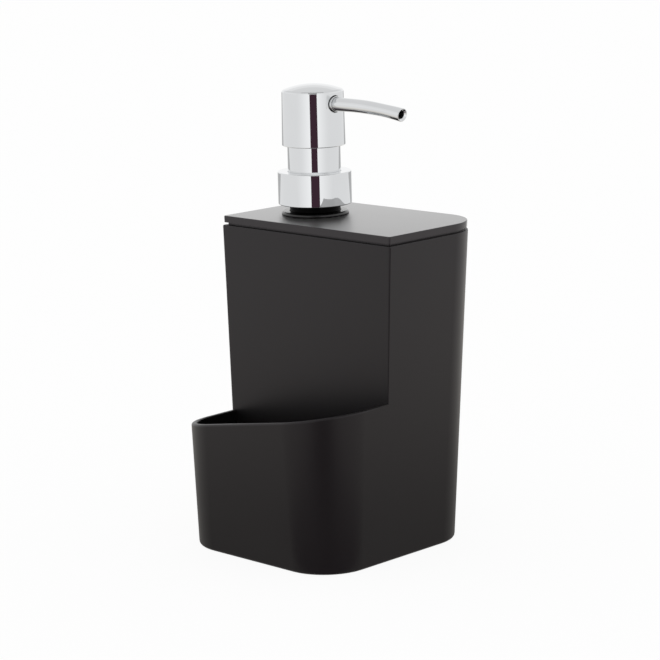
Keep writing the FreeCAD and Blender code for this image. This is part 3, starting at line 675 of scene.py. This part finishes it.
smooth(spout)
seat(spout, "head", "chrome", bright_chrome, "spout_tube")
# The bore's wall and closed end get a dull, nearly black material: painted shade inside the tube.
bore_painted_shade = plastic(
    "spout_bore_painted_shade", dark=(0.012, 0.012, 0.012), light=(0.02, 0.02, 0.02), rough_low=0.45,
    rough_high=0.60, grain_scale=900, grain_depth=0.1)
bore_end_slack = 0.001
bore_side_slack = 0.00001


def in_bore(vertex):
    """Whether a vertex lies on the wall or the end of the bore behind the mouth."""
    arm = vertex.co - tip
    depth = -arm.dot(ahead)
    off_axis = (arm + ahead * depth).length
    return depth < spout_bore_depth + bore_end_slack and off_axis < spout_bore + bore_side_slack


give_painted_shade(spout, bore_painted_shade, lambda face: all(in_bore(v) for v in face.verts))

ring = new_piece("root_ring_chrome")
bpy.ops.mesh.primitive_circle_add(
    vertices=64, radius=ring_radius, fill_type="NOTHING",
    location=(ring_low.x, pump.y, spout_z), rotation=(0, math.pi / 2, 0))
bpy.ops.mesh.extrude_edges_move(
    TRANSFORM_OT_translate={"value": (ring_high.x - ring_low.x, 0, 0)})
bpy.ops.mesh.extrude_edges_move()
ring_fit = 0.00005
inward = (spout_root + ring_fit) / ring_radius
bpy.ops.transform.resize(
    value=(1, inward, inward), center_override=(ring_high.x, pump.y, spout_z))
bpy.ops.mesh.extrude_edges_move(
    TRANSFORM_OT_translate={"value": (ring_low.x - ring_high.x, 0, 0)})
bpy.ops.mesh.select_all(action="DESELECT")
bpy.ops.mesh.select_non_manifold(extend=False)
bpy.ops.mesh.bridge_edge_loops()
close(ring)
soften(ring, width=0.00025)
smooth(ring)
seat(ring, "head", "chrome", bright_chrome, "spout_ring")

# Pump works
# Milky polypropylene mouldings, a steel spring and ball, and a polyethylene dip tube. They show only
# with the lid lifted off.
natural = plastic(
    "milky_pump_plastic", dark=(0.72, 0.73, 0.70), light=(0.84, 0.84, 0.81), rough_low=0.30,
    rough_high=0.45, grain_scale=1200, grain_depth=0.05)
closure_black = plastic(
    "black_closure_plastic", dark=(0.010, 0.010, 0.010), light=(0.020, 0.020, 0.020), rough_low=0.35,
    rough_high=0.5, grain_scale=1800, grain_depth=0.1)
seal = plastic(
    "pale_seal_foam", dark=(0.62, 0.62, 0.60), light=(0.80, 0.80, 0.78), rough_low=0.7,
    rough_high=0.9, grain_scale=900, grain_depth=0.4)
steel = chrome(
    "drawn_steel", low=(0.48, 0.48, 0.48), high=(0.62, 0.62, 0.62), rough_low=0.18, rough_high=0.30)
clear_tube = plastic(
    "milky_tube", dark=(0.76, 0.77, 0.76), light=(0.86, 0.87, 0.86), rough_low=0.2, rough_high=0.3,
    grain_scale=400, grain_depth=0.03)
finishes = {
    "closure": closure_black, "neck_gasket": seal, "head_core": natural, "pump_chamber": natural,
    "chaplet": natural, "piston_stem": natural, "piston_cup": natural, "stem_plug": natural,
    "spring_seat": natural, "inlet_ball": steel, "dip_tube": clear_tube}
for node, material in finishes.items():
    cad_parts[node].material_slots[0].material = material

# Return spring
# One steel wire of six turns, wound closer at its ends. It stands on the spring seat in the chamber. It is
# built at one length here, though the pressed head shortens it in use.
spring_low, spring_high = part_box("return_spring")
spring_length = spring_high.z - spring_low.z
spring_wire = 0.00045
spring_radius = (spring_high.x - spring_low.x) / 2 - spring_wire
spring_turns = 6
turn_steps = 16
wire_sides = 10
end_settle = 0.5


def wire_height(share):
    """How high the wire's middle has climbed over a share of its turns, more slowly at both ends."""
    climb = share - end_settle * math.sin(2 * math.pi * share) / (2 * math.pi)
    return (spring_length - 2 * spring_wire) * climb


spring = new_piece("return_spring_wire")
bpy.ops.mesh.primitive_circle_add(
    vertices=wire_sides, radius=spring_wire, fill_type="NGON", rotation=(math.pi / 2, 0, 0),
    location=(pump.x + spring_radius, pump.y, spring_low.z + spring_wire))
all_steps = spring_turns * turn_steps
for step in range(all_steps):
    climb = wire_height((step + 1) / all_steps) - wire_height(step / all_steps)
    bpy.ops.mesh.extrude_region_move(TRANSFORM_OT_translate={"value": (0, 0, climb)})
    bpy.ops.transform.rotate(
        value=-2 * math.pi / turn_steps, orient_axis="Z", center_override=(pump.x, pump.y, 0))
close(spring)
smooth(spring, angle=50)
seat(spring, "pump_unit", "steel", steel, "return_spring")
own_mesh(spring)

# Table and surroundings
# A wide white table in an even white surround. Cards that show only in reflections give the chrome its
# dark line and soft bright bands, and the black plastic its darker foot and lighter top.
azimuth = math.radians(44.284)
elevation = math.radians(11.459)
towards_camera = Vector((
    math.sin(azimuth) * math.cos(elevation), -math.cos(azimuth) * math.cos(elevation),
    math.sin(elevation)))


def calculate(nodes, links, operation, *values):
    """A math node on links or plain numbers."""
    step = nodes.new("ShaderNodeMath")
    step.operation = operation
    for place, value in enumerate(values):
        if isinstance(value, (int, float)):
            step.inputs[place].default_value = value
        else:
            links.new(value, step.inputs[place])
    return step.outputs["Value"]


def glow(name, colour, level):
    """A card's material: an even glow, or one that changes across the card."""
    material, nodes, links = new_material(name)
    shine = nodes.new("ShaderNodeEmission")
    shine.inputs["Color"].default_value = (*colour, 1)
    if callable(level):
        links.new(level(nodes, links), shine.inputs["Strength"])
    else:
        shine.inputs["Strength"].default_value = level
    links.new(shine.outputs["Emission"], nodes["Material Output"].inputs["Surface"])
    return material


def card(name, width, length, turn, away, up, material, lying=False):
    """A card facing the pump, turned from the camera's side, at a distance from the pump."""
    bpy.ops.object.select_all(action="DESELECT")
    bpy.ops.mesh.primitive_plane_add(size=1)
    piece = bpy.context.object
    piece.name = name
    bpy.ops.transform.resize(value=(width, length, 1))
    bpy.ops.object.transform_apply(location=False, rotation=False, scale=True)
    piece.rotation_euler = (0 if lying else math.pi / 2, 0, azimuth + math.radians(turn))
    direction = azimuth + math.radians(turn)
    piece.location = (
        pump.x + away * math.sin(direction), pump.y - away * math.cos(direction), up)
    piece.data.materials.append(material)
    material.cycles.emission_sampling = "NONE"
    piece.visible_camera = False
    piece.visible_diffuse = False
    piece.visible_shadow = False
    piece.visible_transmission = False


def seen_straight(nodes, links):
    """One for rays from the camera, or by way of a reflection or glass, and nought for the light itself."""
    ray = nodes.new("ShaderNodeLightPath")
    either = calculate(nodes, links, "MAXIMUM", ray.outputs["Is Camera Ray"], ray.outputs["Is Glossy Ray"])
    return calculate(nodes, links, "MAXIMUM", either, ray.outputs["Is Transmission Ray"])


bpy.ops.object.select_all(action="DESELECT")
bpy.ops.mesh.primitive_plane_add(size=40, location=(0, 0, 0))
table = bpy.context.object
table.name = "table"
table_white, nodes, links = new_material("white_table")
nodes["Principled BSDF"].inputs["Base Color"].default_value = (0.92, 0.92, 0.92, 1)
nodes["Principled BSDF"].inputs["Roughness"].default_value = 0.9
nodes["Principled BSDF"].inputs["Specular IOR Level"].default_value = 0.0
plain_white = nodes.new("ShaderNodeEmission")
plain_white.inputs["Strength"].default_value = 1.0
blend = nodes.new("ShaderNodeMixShader")
shadow_share = 0.08
links.new(
    calculate(nodes, links, "MULTIPLY", seen_straight(nodes, links), 1 - shadow_share), blend.inputs["Fac"])
links.new(nodes["Principled BSDF"].outputs["BSDF"], blend.inputs[1])
links.new(plain_white.outputs["Emission"], blend.inputs[2])
links.new(blend.outputs["Shader"], nodes["Material Output"].inputs["Surface"])
table.data.materials.append(table_white)


def painted_floor_shadow(nodes, links):
    """Painted shadow of the caddy on the table: dark near the caddy and white away from it."""
    place = nodes.new("ShaderNodeTexCoord")
    reach = nodes.new("ShaderNodeVectorMath")
    reach.operation = "LENGTH"
    links.new(place.outputs["Object"], reach.inputs[0])
    level = nodes.new("ShaderNodeMapRange")
    level.interpolation_type = "SMOOTHSTEP"
    level.inputs["From Min"].default_value = 0.05
    level.inputs["From Max"].default_value = 0.5
    level.inputs["To Min"].default_value = 0.42
    level.inputs["To Max"].default_value = 1.0
    links.new(reach.outputs["Value"], level.inputs["Value"])
    return level.outputs["Result"]


bright_reach = 1.1
bright_extra = 0.32


def bright_middle(nodes, links):
    """Brightest beside the dark card, and plain white towards the card's ends."""
    place = nodes.new("ShaderNodeTexCoord")
    across = nodes.new("ShaderNodeSeparateXYZ")
    links.new(place.outputs["Object"], across.inputs["Vector"])
    side = calculate(nodes, links, "ABSOLUTE", across.outputs["X"])
    share = calculate(nodes, links, "SUBTRACT", 1.0, calculate(nodes, links, "DIVIDE", side, bright_reach))
    squared = calculate(nodes, links, "MULTIPLY", share, share)
    return calculate(nodes, links, "MULTIPLY_ADD", squared, bright_extra, 1.0)


dark = glow("dark_card", (0.058, 0.028, 0.042), 1.0)
dim = glow("dim_floor_card", (0.24, 0.20, 0.215), 1.0)
# This lying card, seen only in reflections, paints the caddy's shadow on the table.
card(
    "floor_card", width=1.24, length=1.24, turn=0, away=0, up=0.0004,
    material=glow("painted_floor_shadow", (1, 0.97, 0.92), painted_floor_shadow), lying=True)
card("dark_card", width=0.28, length=0.2, turn=1.9, away=0.6, up=0.1, material=dark)
card(
    "front_card", width=2.4, length=0.3, turn=0, away=0.66, up=0.15,
    material=glow("bright_middle", (1, 1, 1), bright_middle))
card("dim_floor_card", width=0.2, length=0.5, turn=0, away=0.34, up=0.0008, material=dim, lying=True)
card(
    "outline_card", width=1.9, length=1.5, turn=180, away=1.6, up=0.0008,
    material=glow("outline_card", (0.55, 0.55, 0.55), 1.0), lying=True)
card(
    "left_card", width=1.0, length=0.3, turn=-95, away=0.8, up=0.32,
    material=glow("left_card", (1, 1, 1), 1.05))
card(
    "back_card", width=1.2, length=0.3, turn=180, away=0.6, up=0.32,
    material=glow("back_card", (1, 1, 1), 1.1))
card(
    "right_card", width=1.0, length=0.3, turn=95, away=0.8, up=0.32,
    material=glow("right_card", (1, 1, 1), 1.1))
card(
    "ceiling_card", width=3.0, length=3.0, turn=0, away=0, up=1.2,
    material=glow("ceiling_card", (1, 1, 1), 0.9), lying=True)
card(
    "upper_dark_card", width=0.36, length=0.315, turn=0, away=0.6, up=0.4625,
    material=glow("upper_dark_card", (0.1, 0.1, 0.1), 1.0))
card(
    "seam_card", width=1.3, length=0.2, turn=0, away=0.46, up=1.15,
    material=glow("seam_card", (0.15, 0.15, 0.15), 1.0), lying=True)

world = bpy.data.worlds.new("white_surround")
world.use_nodes = True
bpy.context.scene.world = world
world_nodes = world.node_tree.nodes
world_links = world.node_tree.links
light_level = world_nodes["Background"]
light_level.inputs["Color"].default_value = (1, 1, 1, 1)
light_level.inputs["Strength"].default_value = 0.95
seen_level = world_nodes.new("ShaderNodeBackground")
seen_level.inputs["Color"].default_value = (1, 1, 1, 1)
seen_level.inputs["Strength"].default_value = 1.0
choice = world_nodes.new("ShaderNodeMixShader")
world_links.new(seen_straight(world_nodes, world_links), choice.inputs["Fac"])
world_links.new(light_level.outputs["Background"], choice.inputs[1])
world_links.new(seen_level.outputs["Background"], choice.inputs[2])
world_links.new(choice.outputs["Shader"], world_nodes["World Output"].inputs["Surface"])

# Camera
# It looks from the front right and a little from above, with a long lens.
target = Vector((0.015738, tank_front, 0.104572))
distance = 1.1374
roll = math.radians(-1.372)
bpy.ops.object.camera_add(location=target + towards_camera * distance)
camera = bpy.context.object
camera.rotation_mode = "QUATERNION"
camera.rotation_quaternion = (
    (-towards_camera).to_track_quat("-Z", "Y") @ Quaternion((0, 0, 1), roll))
camera.data.sensor_width = 36
camera.data.lens = 135.16
camera.data.clip_start = 0.05
camera.data.clip_end = 100
bpy.context.scene.camera = camera
bpy.context.scene.view_settings.view_transform = "Standard"
